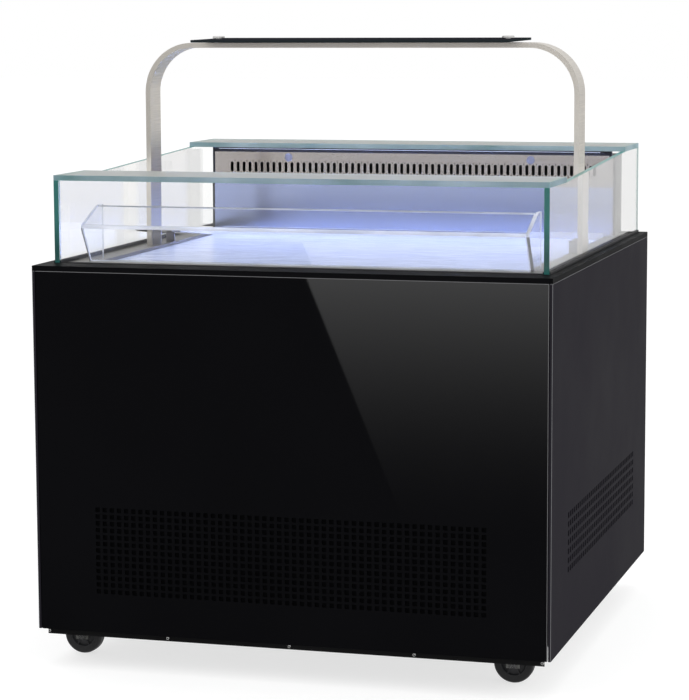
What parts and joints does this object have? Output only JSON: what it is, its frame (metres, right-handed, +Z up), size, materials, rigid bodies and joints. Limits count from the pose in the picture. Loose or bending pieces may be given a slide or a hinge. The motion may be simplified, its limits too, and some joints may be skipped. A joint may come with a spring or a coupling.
{
  "type": "open-top refrigerated display merchandiser",
  "caption": "Open-top chilled island display cabinet on casters: black panels with vents, glass surround, lit deck, clear front guide and an arch canopy over the top.",
  "frame": {"origin": "on the floor, under the middle of the cabinet", "axes": "+Z up, the front with the glossy vented panel faces -Y, +X to the right of someone who faces the front"},
  "size_m": [0.997, 1, 1.1945],
  "materials": {
    "gloss_black_panel": "high gloss",
    "charcoal_panel": "satin powder coat",
    "black_trim": "semi-matt",
    "stainless": "brushed",
    "bright_duct_steel": "near mirror",
    "white_deck": "satin",
    "glass": "clear, green edge",
    "clear_acrylic": "clear, polished",
    "canopy_glass": "gloss black",
    "champagne_aluminium": "satin anodised",
    "chrome": "polished",
    "gasket": "matt",
    "galvanised": "zinc spangle",
    "foam": "cut foam",
    "copper": "bare copper",
    "fin_pack": "fine fins",
    "compressor_black": "satin",
    "caster_zinc": "bright zinc",
    "caster_tyre": "moulded rubber",
    "control_plastic": "moulded",
    "button_grey": "moulded",
    "white_plastic": "moulded",
    "fan_plastic": "moulded"
  },
  "bodies": {
    "cabinet": {"front_panel": "gloss_black_panel", "left_panel": "charcoal_panel", "right_panel": "charcoal_panel", "rear_panel": "charcoal_panel", "top_rim": "black_trim", "kick_strip": "black_trim", "kick_strip_screws": "chrome", "base_pan": "galvanised", "corner_posts": "galvanised", "tub_liner": "stainless", "tub_foam": "foam", "inner_rim": "stainless", "deck_pan": "white_deck", "intake_grille": "stainless", "duct_panel": "bright_duct_steel", "duct_plugs": "white_plastic", "duct_housing": "stainless", "duct_gasket": "gasket", "led_lamp": "gasket", "glass_left": "glass", "glass_right": "glass", "glass_front": "glass", "glass_rear": "glass", "glass_top_front": "glass", "glass_top_rear": "glass", "canopy_arch": "champagne_aluminium", "canopy_shelf": "canopy_glass", "canopy_standoffs": "chrome", "post_brackets": "stainless", "guide_front": "clear_acrylic", "guide_ends": "clear_acrylic", "compressor": "compressor_black", "compressor_feet": "gasket", "condenser_coil": "fin_pack", "condenser_fan_frame": "galvanised", "evaporator_coil": "fin_pack", "evaporator_fan_frame": "galvanised", "refrigerant_lines": "copper", "control_housings": "control_plastic", "power_inlet": "black_trim", "caster_plates": "caster_zinc"},
    "condenser_fan": {"condenser_fan_blade": "fan_plastic"},
    "evaporator_fan": {"evaporator_fan_blade": "fan_plastic"},
    "button_set": {"controller_button_set": "button_grey"},
    "button_defrost": {"controller_button_defrost": "button_grey"},
    "rocker": {"rocker_switch": "control_plastic"},
    "caster_front_left": {"caster_fork_front_left": "caster_zinc", "caster_axle_front_left": "caster_zinc"},
    "wheel_front_left": {"caster_wheel_front_left": "caster_tyre"},
    "caster_front_right": {"caster_fork_front_right": "caster_zinc", "caster_axle_front_right": "caster_zinc"},
    "wheel_front_right": {"caster_wheel_front_right": "caster_tyre"},
    "caster_rear_left": {"caster_fork_rear_left": "caster_zinc", "caster_axle_rear_left": "caster_zinc"},
    "wheel_rear_left": {"caster_wheel_rear_left": "caster_tyre"},
    "caster_rear_right": {"caster_fork_rear_right": "caster_zinc", "caster_axle_rear_right": "caster_zinc"},
    "wheel_rear_right": {"caster_wheel_rear_right": "caster_tyre"},
    "brake_front_left": {"caster_brake_front_left": "caster_zinc"},
    "brake_front_right": {"caster_brake_front_right": "caster_zinc"}
  },
  "joints": [
    {"name": "swivel_front_left", "type": "hinge", "parent": "cabinet", "child": "caster_front_left", "pos_m": [-0.43, -0.372, 0.09], "axis": [0, 0, 1], "continuous": true},
    {"name": "roll_front_left", "type": "hinge", "parent": "caster_front_left", "child": "wheel_front_left", "pos_m": [-0.456, -0.372, 0.038], "axis": [0, 1, 0], "continuous": true},
    {"name": "swivel_front_right", "type": "hinge", "parent": "cabinet", "child": "caster_front_right", "pos_m": [0.43, -0.372, 0.09], "axis": [0, 0, 1], "continuous": true},
    {"name": "roll_front_right", "type": "hinge", "parent": "caster_front_right", "child": "wheel_front_right", "pos_m": [0.404, -0.372, 0.038], "axis": [0, 1, 0], "continuous": true},
    {"name": "swivel_rear_left", "type": "hinge", "parent": "cabinet", "child": "caster_rear_left", "pos_m": [-0.43, 0.372, 0.09], "axis": [0, 0, 1], "continuous": true},
    {"name": "roll_rear_left", "type": "hinge", "parent": "caster_rear_left", "child": "wheel_rear_left", "pos_m": [-0.456, 0.372, 0.038], "axis": [0, 1, 0], "continuous": true},
    {"name": "swivel_rear_right", "type": "hinge", "parent": "cabinet", "child": "caster_rear_right", "pos_m": [0.43, 0.372, 0.09], "axis": [0, 0, 1], "continuous": true},
    {"name": "roll_rear_right", "type": "hinge", "parent": "caster_rear_right", "child": "wheel_rear_right", "pos_m": [0.404, 0.372, 0.038], "axis": [0, 1, 0], "continuous": true},
    {"name": "brake_press_front_left", "type": "hinge", "parent": "caster_front_left", "child": "brake_front_left", "pos_m": [-0.473, -0.372, 0.0785], "axis": [0, 1, 0], "range_deg": [-14, 0]},
    {"name": "brake_press_front_right", "type": "hinge", "parent": "caster_front_right", "child": "brake_front_right", "pos_m": [0.387, -0.372, 0.0785], "axis": [0, 1, 0], "range_deg": [-14, 0]},
    {"name": "condenser_fan_spin", "type": "hinge", "parent": "cabinet", "child": "condenser_fan", "pos_m": [-0.09, -0.371, 0.219], "axis": [0, 1, 0], "continuous": true},
    {"name": "evaporator_fan_spin", "type": "hinge", "parent": "cabinet", "child": "evaporator_fan", "pos_m": [-0.08, 0.089, 0.543], "axis": [0, 1, 0], "continuous": true},
    {"name": "press_set", "type": "slide", "parent": "cabinet", "child": "button_set", "axis": [0, -1, 0], "range_m": [0, 0.001], "stiffness_N_per_m": 300, "springref_m": -0.0005},
    {"name": "press_defrost", "type": "slide", "parent": "cabinet", "child": "button_defrost", "axis": [0, -1, 0], "range_m": [0, 0.001], "stiffness_N_per_m": 300, "springref_m": -0.0005},
    {"name": "rocker_tip", "type": "hinge", "parent": "cabinet", "child": "rocker", "pos_m": [0.3, 0.494, 0.3], "axis": [1, 0, 0], "range_deg": [0, 14]}
  ]
}
